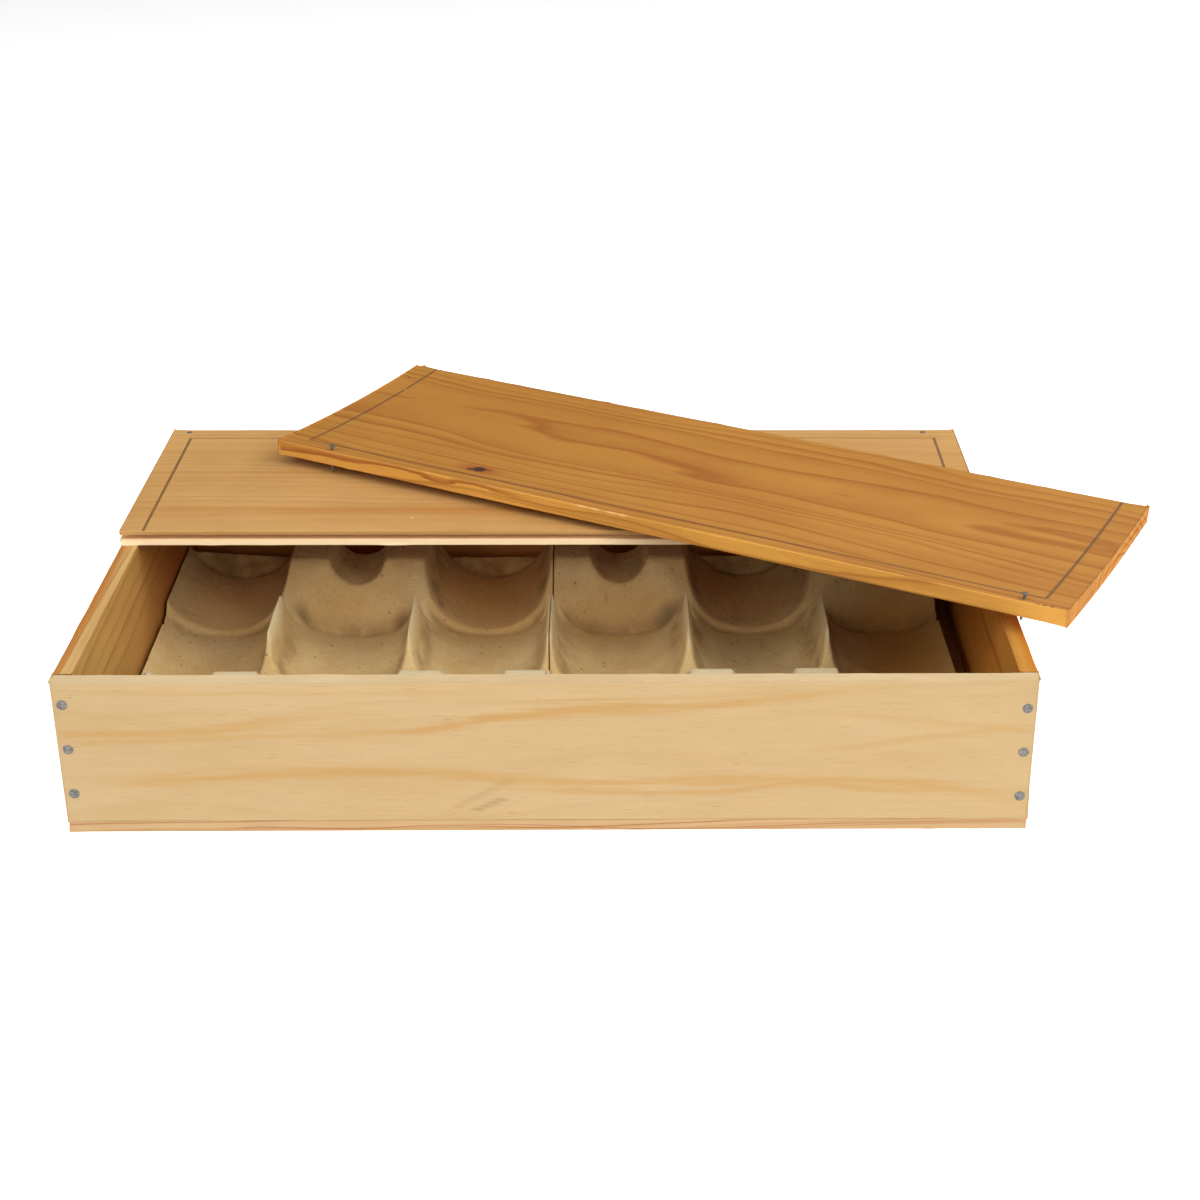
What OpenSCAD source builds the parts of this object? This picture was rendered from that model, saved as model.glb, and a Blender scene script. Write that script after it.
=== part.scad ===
// Flat wooden crate for six bottles laid head to tail in two moulded pulp trays.
// The rear lid board is nailed down and the front lid board has been prised off and lies askew on top.
// Origin: centre of the crate's underside. X runs along the length, Y to the rear, Z up. Millimetres.

/* [Boards] */
// Height of the four side boards
side_h = 81; // [78:1:140]
// Thickness of the long front and rear boards
long_t = 9; // [7:0.5:14]
// Thickness of the short end boards
end_t = 9.5; // [7:0.5:14]
// Thickness of the two bottom boards
bottom_t = 6.5; // [5:0.5:10]
// Thickness of the two lid boards
lid_t = 9; // [8:0.5:12]
// Width of the prised lid board without its tongue
loose_w = 156.5; // [120:0.5:160]
// Distance of the lid joint behind the middle of the crate
lid_joint = 4; // [0:0.5:10]
// Distance of the bottom joint behind the middle of the crate
bottom_joint = -12; // [-30:1:-6]

/* [Tongue and groove] */
// Reach of a tongue past its board
tongue_reach = 6; // [4:0.5:7]
// Thickness of a tongue
tongue_t = 2.5; // [1.5:0.1:3]
// Depth of wood above the tongue and the groove of a lid board
lid_lip = 2.6; // [1.8:0.1:3]
// Depth of wood below the tongue and the groove of a bottom board
bottom_lip = 1.9; // [1.5:0.1:2.2]
// Play of a tongue in its groove on each side
tongue_play = 0.15; // [0.1:0.05:0.3]

/* [Prised board] */
// Distance of its middle to the right of the crate's middle
loose_x = 84; // [60:1:100]
// Distance of its middle behind the crate's middle
loose_y = 60; // [50:1:70]
// Angle by which its right end is swung to the front
loose_swing = 27.6; // [20:0.2:35]
// Depth of the hollow across its top, where the drying board has cupped
loose_cup = 2.4; // [1:0.1:4]
// Reach of its left nail below the hollow's lowest line, which holds its left end up
loose_prop = 3.7; // [3:0.1:6]
// Reach of its right nail below that line
loose_reach = 1.9; // [1:0.1:4]
// Gap where it comes down on the front right corner of the rear lid board
loose_gap = 0.1; // [0.05:0.05:0.3]

/* [Nails] */
// Diameter of a side nail's head
head_d = 5.8; // [4:0.2:7]
// Thickness of a side nail's head
head_t = 0.8; // [0.6:0.1:1.5]
// Diameter of a side nail's shank
shank_d = 2; // [1.4:0.1:2.6]
// Length of a side nail
nail_l = 34; // [24:1:45]
// Diameter of a lid nail's head
lid_head_d = 3.6; // [2.6:0.1:5]
// Diameter of a lid nail's shank
lid_shank_d = 1.6; // [1.2:0.1:2]
// Length of a lid nail
lid_nail_l = 20.5; // [18:0.5:30]
// Length of a nail's point
point_l = 2.5; // [1.5:0.1:3]
// Play between a nail and its hole, all round
nail_play = 0.05; // [0.02:0.01:0.1]
// Angle by which the prised nails lean
nail_lean = 3; // [0:1:10]
// Distance of the side nails from the crate's ends
side_nail_in = 5.6; // [4:0.1:7]

/* [Pulp trays] */
// Distance between the middles of two neighbouring cells
cell_pitch = 79.5; // [78.6:0.1:86]
// Wall thickness of the moulded pulp
pulp_t = 2.2; // [1.5:0.1:2.6]
// Length of a tray from front to rear
tray_l = 270; // [266:1:300]
// Height of the flat tops of the end blocks above the tray's foot
block_h = 43; // [41:0.5:48]
// Height of the ridges between the cells in the middle
ridge_h = 41.5; // [38:0.5:44]
// Half the width and the depth of a cell in the middle
cell_r = 38.4; // [36:0.1:38.8]
// Radius of the trough that holds a bottle's body
body_r = 38; // [34:0.1:38.4]
// Height of the axis of the bottle's body above the tray's foot
body_z = 42.8; // [42:0.1:46]
// Radius of the channel that holds a bottle's neck
neck_r = 17; // [14:0.5:20]
// Height of the axis of the neck channel above the tray's foot
neck_z = 45.5; // [43:0.5:48]
// Radius of the deeper pocket for the bottle's mouth
mouth_r = 20; // [17:0.5:24]
// Height of the axis of that pocket above the tray's foot
mouth_z = 37; // [34:0.5:40]
// Height of the low lip that stops a bottle's base
lip_h = 16.5; // [12:0.5:22]
// Rise of that lip to the tray's trimmed corner
lip_rise = 5; // [0:0.5:8]
// Distance from the middle of the first cell to the trimmed side of the tray
trim_w = 34; // [30:0.5:36]
// Angle by which that side is trimmed out of line with the cells
trim_skew = 0.5; // [0:0.1:1]
// Angle by which both trays lie turned in the crate
tray_turn = 0.4; // [0:0.05:0.5]

/* [Places in the tray, from its middle] */
// Half the length of a ridge at its top
ridge_end = 24.5; // [15:0.5:28]
// Front edge of the flat top of an end block
face_top = 75; // [70:0.5:80]
// Run of the block's sloping face for each millimetre of height
face_slope = 1.25; // [1:0.05:1.5]
// Far end of a cell's floor, where the bowl at its end begins
bowl_end = 51; // [46:0.5:54]
// Radius of that bowl in plan at the floor
bowl_r = 43; // [42:0.5:48]
// Run of the bowl for each millimetre of height
bowl_slope = 0.6; // [0.4:0.02:0.8]
// Run of a ridge's end for each millimetre of height
ridge_slope = 0.48; // [0.3:0.02:0.6]
// Length of the pocket for the bottle's mouth, from the tray's end
mouth_l = 19; // [10:1:30]
// Draft of the outer walls, as run for each millimetre of height
draft = 0.06; // [0:0.01:0.12]

/* [Room round the trays] */
// Gap between the left end board and the left tray
gap_left = 2.8; // [2.5:0.1:10]
// Gap between the two trays
gap_seam = 0.6; // [0.4:0.1:3]
// Gap between the right tray and the right end board
gap_right = 12.1; // [2.5:0.1:20]
// Gap between the front board and the left tray
gap_front_left = 15.3; // [1:0.1:20]
// Gap between the front board and the right tray
gap_front_right = 18.7; // [1:0.1:20]
// Gap between the left tray and the rear board
gap_rear = 26.7; // [22:0.1:32]

/* [Hidden] */
$fn = 64;

// Overlap of a cutting shape past the face that it cuts
past = 1;
cells = 3;
tray_w = trim_w + (cells - 0.5) * cell_pitch;
inner_l = gap_left + 2 * tray_w + gap_seam + gap_right;
inner_w = gap_front_left + tray_l + gap_rear;
crate_l = inner_l + 2 * end_t;
crate_w = inner_w + 2 * long_t;
side_top = bottom_t + side_h;
lid_top = side_top + lid_t;

// Nail places. Side nails go through the long boards into the middle of the end boards.
side_nail_x = crate_l / 2 - side_nail_in;
left_nail_drop = [12.5, 38.3, 64.3];
right_nail_drop = [15.9, 41.4, 67.5];
// Bottom nails go up into the side boards, counted from the crate's middle
bottom_nail_x = [-205, -105, 0, 105, 205];
bottom_nail_y = [-80, 80];
// Lid nails go down into the rear board
lid_nail_x = [-239.5, 229.5];
// Prised nails, in the loose board's own frame: distance from its middle and from its near edge, and height proud
loose_nail_x = [-211.5, 224];
loose_nail_in = [3, 4];

wood = "#e2c18c";
lid_wood = "#cda064";
loose_wood = "#c4873e";
pulp = "#b09b73";
steel = "#969696";

// Boards

// Section of a board in Y and Z with its joint edge at y = 0 and its body towards -Y.
// A groove is cut into that edge, or a tongue stands out from it.
module board_section(w, t, tongue_low, tongue) {
    difference() {
        translate([-w, 0])
            square([w, t]);
        if (!tongue)
            translate([-tongue_reach - tongue_play, tongue_low - tongue_play])
                square([tongue_reach + tongue_play + past, tongue_t + 2 * tongue_play]);
    }
    if (tongue)
        translate([-past, tongue_low])
            square([tongue_reach + past, tongue_t]);
}

// A board along X, centred, with its joint edge at y = 0
module board(l, w, t, tongue_low, tongue) {
    rotate([90, 0, 90])
        translate([0, 0, -l / 2])
            linear_extrude(height = l)
                board_section(w, t, tongue_low, tongue);
}

module bottom_front_board() {
    color(wood)
        difference() {
            translate([0, bottom_joint, 0])
                board(crate_l, crate_w / 2 + bottom_joint, bottom_t, bottom_lip, true);
            bottom_nails_at(nail_play);
        }
}

module bottom_rear_board() {
    color(wood)
        difference() {
            translate([0, bottom_joint, 0])
                mirror([0, 1, 0])
                    board(crate_l, crate_w / 2 - bottom_joint, bottom_t, bottom_lip, false);
            bottom_nails_at(nail_play);
        }
}

module long_board() {
    translate([-crate_l / 2, -crate_w / 2, bottom_t])
        cube([crate_l, long_t, side_h]);
}

module front_board() {
    color(wood)
        difference() {
            long_board();
            side_nails_at(nail_play);
            bottom_nails_at(nail_play);
        }
}

module rear_board() {
    color(wood)
        difference() {
            mirror([0, 1, 0])
                long_board();
            mirror([0, 1, 0])
                side_nails_at(nail_play);
            bottom_nails_at(nail_play);
            lid_nails_at(nail_play);
        }
}

// End board on the left; the right one is turned half round about Z
module end_board() {
    translate([-crate_l / 2, -inner_w / 2, bottom_t])
        cube([end_t, inner_w, side_h]);
}

module left_end_board() {
    color(wood)
        difference() {
            end_board();
            side_nails_at(nail_play);
            mirror([0, 1, 0])
                side_nails_at(nail_play);
            bottom_nails_at(nail_play);
        }
}

module right_end_board() {
    color(wood)
        difference() {
            rotate([0, 0, 180])
                end_board();
            side_nails_at(nail_play);
            mirror([0, 1, 0])
                side_nails_at(nail_play);
            bottom_nails_at(nail_play);
        }
}

module lid_rear_board() {
    color(lid_wood)
        difference() {
            translate([0, lid_joint, side_top])
                mirror([0, 1, 0])
                    board(crate_l, crate_w / 2 - lid_joint, lid_t, lid_t - lid_lip - tongue_t, false);
            lid_nails_at(nail_play);
        }
}

// The loose board is cupped: its underside and its top are arcs about one line above it.
cup_r = (pow(loose_w / 2, 2) + pow(loose_cup, 2)) / (2 * loose_cup);

// Height of the cupped underside above its lowest line, at a distance y from that line
function cup_rise(y) = cup_r - sqrt(cup_r * cup_r - y * y);

// Ring of the cupped section between two heights above the underside, from y0 to y1
module cup_band(low, high, y0, y1) {
    a0 = asin(y0 / cup_r);
    a1 = asin(y1 / cup_r);
    translate([0, cup_r])
        intersection() {
            difference() {
                circle(r = cup_r - low, $fn = 720);
                circle(r = cup_r - high, $fn = 720);
            }
            polygon([
                [0, 0],
                2 * cup_r * [sin(a0), -cos(a0)],
                2 * cup_r * [sin(a1), -cos(a1)]
            ]);
        }
}

module cupped_board() {
    tongue_low = lid_t - lid_lip - tongue_t;
    rotate([90, 0, 90])
        translate([0, 0, -crate_l / 2])
            linear_extrude(height = crate_l) {
                cup_band(0, lid_t, -loose_w / 2, loose_w / 2);
                cup_band(tongue_low, tongue_low + tongue_t, loose_w / 2 - past, loose_w / 2 + tongue_reach);
            }
}

// Pose of the loose board. Its underside rests on the front right corner of the rear lid board, at the
// place called rest in its own frame, and its left nail stands on that board, which sets its slope.
rest_x = (crate_l / 2 - loose_x) * cos(loose_swing) + (loose_y - lid_joint) * sin(loose_swing);
rest_y = (crate_l / 2 - loose_x) * sin(loose_swing) - (loose_y - lid_joint) * cos(loose_swing);
loose_nail_y = [for (inset = loose_nail_in) inset - loose_w / 2];
loose_tilt = asin((loose_prop + cup_rise(rest_y)) / (rest_x - loose_nail_x[0]));

module loose_frame() {
    translate([crate_l / 2, lid_joint, lid_top + loose_gap])
        rotate([0, 0, -loose_swing])
            rotate([0, loose_tilt, 0])
                translate([-rest_x, -rest_y, -cup_rise(rest_y)])
                    children();
}

module lid_loose_board() {
    color(loose_wood)
        loose_frame()
            difference() {
                cupped_board();
                loose_nails_at(nail_play);
            }
}

// Nails

// A nail along -Z with the top of its head at z = 0, or its hole where play is above 0
module nail(head, shank, head_thick, length, play) {
    translate([0, 0, -head_thick])
        cylinder(h = head_thick + (play > 0 ? past : 0), d = head + 2 * play);
    translate([0, 0, point_l - length])
        cylinder(h = length - point_l - head_thick / 2, d = shank + 2 * play);
    translate([0, 0, -length - play])
        cylinder(h = point_l + play, d1 = shank / 4, d2 = shank + 2 * play);
}

module side_nails_at(play) {
    for (side = [-1, 1], drop = side < 0 ? left_nail_drop : right_nail_drop)
        translate([side * side_nail_x, -crate_w / 2, side_top - drop])
            rotate([90, 0, 0])
                nail(head_d, shank_d, head_t, nail_l, play);
}

module bottom_nails_at(play) {
    for (x = bottom_nail_x, side = [-1, 1])
        translate([x, side * (crate_w - long_t) / 2, 0])
            rotate([180, 0, 0])
                nail(head_d, shank_d, head_t, nail_l, play);
    for (y = bottom_nail_y, side = [-1, 1])
        translate([side * side_nail_x, y, 0])
            rotate([180, 0, 0])
                nail(head_d, shank_d, head_t, nail_l, play);
}

module lid_nails_at(play) {
    for (x = lid_nail_x)
        translate([x, (crate_w - long_t) / 2, lid_top])
            nail(lid_head_d, lid_shank_d, head_t, lid_nail_l, play);
}

// Prised nails in the loose board's frame. Each leans about the point where it comes out below.
module loose_nails_at(play) {
    for (i = [0 : len(loose_nail_x) - 1])
        translate([loose_nail_x[i], loose_nail_y[i], i == 0 ? -loose_prop : -loose_reach])
            rotate([0, nail_lean, 0])
                translate([0, 0, lid_nail_l])
                    nail(lid_head_d, lid_shank_d, head_t, lid_nail_l, play);
}

module front_nails() {
    color(steel)
        side_nails_at(0);
}

module rear_nails() {
    color(steel)
        mirror([0, 1, 0])
            side_nails_at(0);
}

module bottom_nails() {
    color(steel)
        bottom_nails_at(0);
}

module lid_nails() {
    color(steel)
        lid_nails_at(0);
}

module loose_nails() {
    color(steel)
        loose_frame()
            loose_nails_at(0);
}

// Pulp trays. The moulding is a solid form less the same form inset by the wall thickness.
// Tray frame: x = 0 at the middle of the first cell, y = 0 at the middle, z = 0 at the foot.

cell_power = 2.4;
cell_steps = 24;
chamfer_w = 13.5;
chamfer_h = 18.5;
floor_gap = 0.4;
block_l = tray_l / 2;
lip_start = block_l - pulp_t;
// Width that the trimmed side's cut takes off the form
trim_room = 5;
mouth_start = block_l - mouth_l;
// Width of a flat part of a lip, as a share of the trough's
lip_share = 0.87;

function sign_pow(v, p) = sign(v) * pow(abs(v), p);

// Section of a cell: the lower half of a superellipse, closed above by a straight rise
function cell_section(r, rise) = concat(
    [for (i = [0 : cell_steps])
        let (a = 180 + 180 * i / cell_steps)
        r * [sign_pow(cos(a), 2 / cell_power), sign_pow(sin(a), 2 / cell_power)]],
    [[r, rise], [-r, rise]]
);

// Extrudes a Y-Z outline over the tray's width
module across(inset) {
    translate([-trim_w - trim_room, 0, 0])
        rotate([90, 0, 90])
            linear_extrude(height = tray_w + trim_room - inset)
                children();
}

// Extrudes an X-Z outline from y0 to y1
module along(y0, y1) {
    translate([0, y1, 0])
        rotate([90, 0, 0])
            linear_extrude(height = y1 - y0)
                children();
}

// Foot level of a form: its own foot, or below it where the form hollows another
function foot(d) = d > 0 ? -past : 0;

// Distance along the level between a sloping face and the same face inset by d
function slant(d, run) = d * sqrt(1 + run * run);

// Half length, at height z, of the ridge and of the block face that is inset by d
function ridge_y(z, d) = ridge_end + (ridge_h - z) * ridge_slope - slant(d, ridge_slope);
function face_y(z, d) = face_top - (block_h - z) * face_slope + slant(d, face_slope);

// Ridges between the cells, whose ends slope down
module ridges(d) {
    top = ridge_h - d;
    across(d)
        polygon([
            [-ridge_y(foot(d), d), foot(d)], [ridge_y(foot(d), d), foot(d)],
            [ridge_y(top, d), top], [-ridge_y(top, d), top]
        ]);
}

// End block to the rear, with its sloping face and its drafted outer wall
module block(d) {
    top = block_h - d;
    outer = block_l - slant(d, draft);
    across(d)
        polygon([
            [face_y(foot(d), d), foot(d)], [face_y(top, d), top],
            [outer - top * draft, top], [outer - foot(d) * draft, foot(d)]
        ]);
}

// Hollow of a cell: its section, ended at both ends by bowls that are round in plan
module cell(d) {
    floor_z = floor_gap + pulp_t;
    intersection() {
        translate([0, 0, cell_r + floor_z])
            along(-face_top - past, face_top + past)
                polygon(cell_section(cell_r + d, cell_r));
        for (side = [-1, 1])
            translate([0, side * (bowl_end - bowl_r), 0])
                cylinder(
                    h = block_h + past,
                    r1 = bowl_r - floor_z * bowl_slope + slant(d, bowl_slope),
                    r2 = bowl_r + (block_h + past - floor_z) * bowl_slope + slant(d, bowl_slope)
                );
    }
}

// How far a cut through an end wall runs past the tray, or stops short so that the wall keeps its thickness
function cut_end(d) = block_l + (d > 0 ? -pulp_t : past);

// Trough for a bottle's body towards the rear, with the low lip at the bottle's base
module body_trough(d, rise) {
    half = body_r * lip_share;
    translate([0, 0, body_z])
        along(ridge_end, lip_start + d)
            circle(r = body_r + d);
    translate([0, 0, lip_h - d])
        along(lip_start - past, block_l + past)
            polygon([[-half - d, rise], [half + d, 0], [body_r + d, body_z], [-body_r - d, body_z]]);
}

// Channel for a bottle's neck towards the rear, with the deeper pocket for its mouth
module neck_channel(d) {
    translate([0, 0, neck_z])
        along(bowl_end, block_l + past)
            circle(r = neck_r + d);
    translate([0, 0, mouth_z])
        along(mouth_start - d, block_l + past)
            circle(r = mouth_r + d);
}

// Cut along the trimmed side: upright, then slanted in
module trim(d) {
    shift = slant(d, chamfer_w / chamfer_h) - d;
    rotate([0, 0, trim_skew])
        translate([d - trim_w, 0, block_h - chamfer_h])
            along(-tray_l, tray_l)
                polygon([
                    [0, -block_h], [0, -shift * chamfer_h / chamfer_w], [2 * chamfer_w - shift, 2 * chamfer_h - shift],
                    [-chamfer_w, 2 * chamfer_h], [-chamfer_w, -block_h]
                ]);
}

// The cells have the bottle's base to the rear in turn, and its neck in the others
module form(d) {
    difference() {
        union() {
            ridges(d);
            block(d);
            mirror([0, 1, 0])
                block(d);
            floor_slab(d);
        }
        for (i = [0 : cells - 1])
            translate([i * cell_pitch, 0, 0])
                mirror([0, i % 2, 0]) {
                    cell(d);
                    body_trough(d, i == 0 ? lip_rise : 0);
                    mirror([0, 1, 0])
                        neck_channel(d);
                }
        trim(d);
    }
}

// Slab that the cells' floors are cut into
module floor_slab(d) {
    across(d)
        translate([-bowl_end - past, foot(d)])
            square([2 * (bowl_end + past), bowl_floor() - d - foot(d)]);
}

// Height at which the ridge's end and the block's face meet
function bowl_floor() = (ridge_end + ridge_h * ridge_slope - face_top + block_h * face_slope) / (face_slope + ridge_slope);

module tray() {
    difference() {
        form(0);
        form(pulp_t);
    }
}

module pulp_tray_left() {
    color(pulp)
        translate([gap_left + trim_w - inner_l / 2, gap_front_left + (tray_l - inner_w) / 2, bottom_t])
            rotate([0, 0, tray_turn])
                tray();
}

module pulp_tray_right() {
    color(pulp)
        translate([
            gap_left + 2 * tray_w - trim_w + gap_seam - inner_l / 2,
            gap_front_right + (tray_l - inner_w) / 2,
            bottom_t
        ])
            rotate([0, 0, 180 + tray_turn])
                tray();
}

bottom_front_board();
bottom_rear_board();
front_board();
rear_board();
left_end_board();
right_end_board();
lid_rear_board();
lid_loose_board();
pulp_tray_left();
pulp_tray_right();
front_nails();
rear_nails();
bottom_nails();
lid_nails();
loose_nails();
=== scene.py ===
"""Dresses a flat pine bottle crate: worn boards, galvanised nails and two moulded pulp trays.

Lengths are in millimetres in each piece's own frame and turn to metres when a mesh is made.
"""

from __future__ import annotations

import logging
import math
from dataclasses import dataclass, field
from enum import Enum
from typing import Iterable, Sequence

import bpy
import numpy as np
from mathutils import Euler, Matrix, Vector


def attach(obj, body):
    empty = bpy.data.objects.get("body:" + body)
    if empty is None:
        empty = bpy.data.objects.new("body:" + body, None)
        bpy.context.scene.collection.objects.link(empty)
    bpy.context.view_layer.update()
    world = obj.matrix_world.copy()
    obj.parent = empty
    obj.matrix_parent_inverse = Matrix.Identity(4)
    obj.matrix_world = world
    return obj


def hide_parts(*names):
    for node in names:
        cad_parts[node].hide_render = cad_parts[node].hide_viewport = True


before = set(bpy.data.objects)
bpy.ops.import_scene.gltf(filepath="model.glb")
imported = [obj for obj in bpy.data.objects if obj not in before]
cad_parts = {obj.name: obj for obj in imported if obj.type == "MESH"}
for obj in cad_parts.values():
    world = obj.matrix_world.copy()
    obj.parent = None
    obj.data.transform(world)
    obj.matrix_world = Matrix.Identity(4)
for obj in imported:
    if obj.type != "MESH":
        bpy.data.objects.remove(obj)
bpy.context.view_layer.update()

log = logging.getLogger("crate")

Point = tuple[float, float]
Socket = bpy.types.NodeSocket
Tree = bpy.types.NodeTree

# Height in a board above which a printed line shows, so that it stays on the upper side
INK_LOW = 6.5
# Greatest height in a board that a streak's curve can reach
STREAK_TOP = 90.0


class Face(Enum):
    """Kinds of face on a board, which saw and plane leave different; the inner side's colour is painted light."""

    SIDE = 0
    TOP = 1
    END = 2
    INNER = 3


def linear(code: str, alpha: float = 1.0) -> tuple[float, float, float, float]:
    """Turns an sRGB hex colour into Blender's linear colour.

    Args:
        code: Colour as "#rrggbb".
        alpha: Value of the fourth channel.

    Returns:
        Red, green, blue and alpha.
    """
    parts = [int(code[i : i + 2], 16) / 255 for i in (1, 3, 5)]
    rgb = [v / 12.92 if v <= 0.04045 else ((v + 0.055) / 1.055) ** 2.4 for v in parts]
    return (*rgb, alpha)


def feed(tree: Tree, node: bpy.types.Node, inputs: dict) -> None:
    """Sets or links inputs of a node.

    Args:
        tree: Node tree of the node.
        node: The node.
        inputs: Input name or number to a value, or to the socket that feeds it.
    """
    for key, value in inputs.items():
        if isinstance(value, Socket):
            tree.links.new(value, node.inputs[key])
        else:
            node.inputs[key].default_value = value


def add_node(tree: Tree, kind: str, inputs: dict | None = None, out: int | str = 0, **settings) -> Socket:
    """Adds a node, sets it up and links it.

    Args:
        tree: Node tree that gets the node.
        kind: Blender's type name without the leading "ShaderNode".
        inputs: Input name or number to a value, or to the socket that feeds it.
        out: Output to hand back.
        **settings: Properties of the node.

    Returns:
        The chosen output socket.
    """
    node = tree.nodes.new("ShaderNode" + kind)
    for name, value in settings.items():
        setattr(node, name, value)
    feed(tree, node, inputs or {})
    return node.outputs[out]


def calc(tree: Tree, operation: str, *values: Socket | float, **settings) -> Socket:
    """Does a sum on sockets or numbers.

    Args:
        tree: Node tree.
        operation: Blender's name of the sum.
        *values: What goes in.
        **settings: Other properties of the node.

    Returns:
        The result.
    """
    return add_node(tree, "Math", dict(enumerate(values)), operation=operation, **settings)


def ranged(
    tree: Tree, value: Socket, span: Point = (0.0, 1.0), made: Point = (0.0, 1.0), smooth: bool = False
) -> Socket:
    """Maps a value from one range to another and holds it there.

    Args:
        tree: Node tree.
        value: The value.
        span: Range that it comes from.
        made: Range that it goes to.
        smooth: True for eased ends.

    Returns:
        The new value.
    """
    inputs = {0: value, 1: span[0], 2: span[1], 3: made[0], 4: made[1]}
    return add_node(tree, "MapRange", inputs, interpolation_type="SMOOTHSTEP" if smooth else "LINEAR")


def blend(tree: Tree, colour: Socket | str, mask: Socket, tint: str) -> Socket:
    """Lays a colour over another where a mask says.

    Args:
        tree: Node tree.
        colour: Colour so far, as a socket or as hex.
        mask: How much of the tint shows.
        tint: Colour laid over, as hex.

    Returns:
        The new colour.
    """
    below = linear(colour) if isinstance(colour, str) else colour
    return add_node(tree, "Mix", {"Factor": mask, 6: below, 7: linear(tint)}, 2, data_type="RGBA")


def grain_noise(
    tree: Tree,
    place: Socket,
    scale: Sequence[float],
    detail: float,
    rough: float = 0.5,
    shift: Sequence[float] = (0.0, 0.0, 0.0),
    out: int | str = 0,
) -> Socket:
    """Noise that is stretched along the grain.

    Args:
        tree: Node tree.
        place: Place on the piece, in millimetres.
        scale: Periods a millimetre along each axis.
        detail: Number of finer layers.
        rough: Strength of the finer layers.
        shift: Offset of the pattern.
        out: Output to hand back.

    Returns:
        The noise.
    """
    where = add_node(tree, "Mapping", {"Vector": place, "Location": shift, "Scale": scale})
    return add_node(tree, "TexNoise", {"Vector": where, "Scale": 1.0, "Detail": detail, "Roughness": rough}, out)


def crate_place(tree: Tree) -> Socket:
    """Place in the crate, in millimetres."""
    where = add_node(tree, "TexCoord", out="Object")
    return add_node(tree, "VectorMath", {0: where, "Scale": 1000.0}, operation="SCALE")


def set_ramp(socket: Socket, stops: Sequence[tuple[float, float]]) -> Socket:
    """Gives a colour ramp node its stops, as grey values.

    Args:
        socket: Colour output of the ramp node.
        stops: Position and grey value of each stop.

    Returns:
        The same socket.
    """
    ramp = socket.node.color_ramp
    while len(ramp.elements) < len(stops):
        ramp.elements.new(0.5)
    for element, (place, value) in zip(ramp.elements, stops):
        element.position = place
        element.color = (value, value, value, 1)
    return socket


def new_material(name: str) -> tuple[bpy.types.Material, Tree, bpy.types.Node]:
    """Makes an empty node material.

    Args:
        name: Name of the material.

    Returns:
        The material, its tree and its Principled shader.
    """
    material = bpy.data.materials.new(name)
    material.use_nodes = True
    tree = material.node_tree
    return material, tree, tree.nodes["Principled BSDF"]


def make_object(name: str, verts: np.ndarray, faces: Sequence[Sequence[int]], matrix: Matrix) -> bpy.types.Object:
    """Makes a mesh object whose place is in its vertices.

    Args:
        name: Name of the piece.
        verts: Vertices in millimetres in the piece's own frame.
        faces: Vertex numbers of each face.
        matrix: Place of the piece's frame in the crate, in millimetres.

    Returns:
        The object, at the origin.
    """
    m = np.array(matrix)
    world = (verts @ m[:3, :3].T + m[:3, 3]) / 1000
    mesh = bpy.data.meshes.new(name)
    mesh.from_pydata(world.tolist(), [], [list(map(int, f)) for f in faces])
    mesh.validate()
    mesh.update()
    obj = bpy.data.objects.new(name, mesh)
    bpy.context.scene.collection.objects.link(obj)
    return obj


def settle(obj: bpy.types.Object, node: str) -> None:
    """Puts a finished piece on the crate in place of its CAD node.

    Args:
        obj: The piece.
        node: Name of the CAD node.
    """
    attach(obj, "root")
    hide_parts(node)
    log.info("%s: %d vertices, %d faces", obj.name, len(obj.data.vertices), len(obj.data.polygons))


def value_noise(points: np.ndarray, seed: int) -> np.ndarray:
    """Smooth noise with a period of one unit, the same on each run.

    Args:
        points: Array of N by 2 or 3 coordinates.
        seed: Number that picks the pattern.

    Returns:
        N values from -1 to 1.
    """
    cell = np.floor(points).astype(np.int64)
    part = points - cell
    part = part * part * (3 - 2 * part)
    total = np.zeros(len(points))
    for corner in np.ndindex(*(2,) * points.shape[1]):
        at = cell + np.array(corner)
        key = np.full(len(points), seed, dtype=np.int64)
        for axis in range(points.shape[1]):
            key = (key * 73856093 ^ at[:, axis] * 19349663) & 0x7FFFFFFF
            key = (key ^ (key >> 13)) * 60493 & 0x7FFFFFFF
        share = np.prod(np.where(np.array(corner) == 1, part, 1 - part), axis=1)
        total += share * ((key % 65536) / 32767.5 - 1)
    return total


@dataclass(frozen=True)
class Line:
    """A plain printed border line on a board's top, from corner to corner of a thin box."""

    x: Point
    y: Point
    strength: float = 0.85


@dataclass(frozen=True)
class Spot:
    """A soft discolouring, knot or bruise in the wood, or a soft patch of painted light or shade."""

    at: tuple[float, float, float]
    reach: tuple[float, float, float]
    colour: str
    strength: float = 0.8
    softness: float = 0.6


def spot_mask(tree: Tree, spot: Spot, place: Socket) -> Socket:
    """Mask of a soft spot.

    Args:
        tree: Node tree.
        spot: The spot.
        place: Place on the piece, in millimetres.

    Returns:
        How much of the spot's colour shows.
    """
    off = add_node(tree, "VectorMath", {0: place, 1: spot.at}, operation="SUBTRACT")
    scaled = add_node(tree, "VectorMath", {0: off, 1: spot.reach}, operation="DIVIDE")
    far = add_node(tree, "VectorMath", {0: scaled}, "Value", operation="LENGTH")
    return ranged(tree, far, (1 - spot.softness, 1.0), (spot.strength, 0.0), smooth=True)


@dataclass(frozen=True)
class Streak:
    """A dark growth band that wanders up and down along the board, soft above and below its line."""

    points: tuple[Point, ...]
    above: float
    below: float
    colour: str
    strength: float = 0.8
    fade: Point = (0.1, 0.14)


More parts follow.
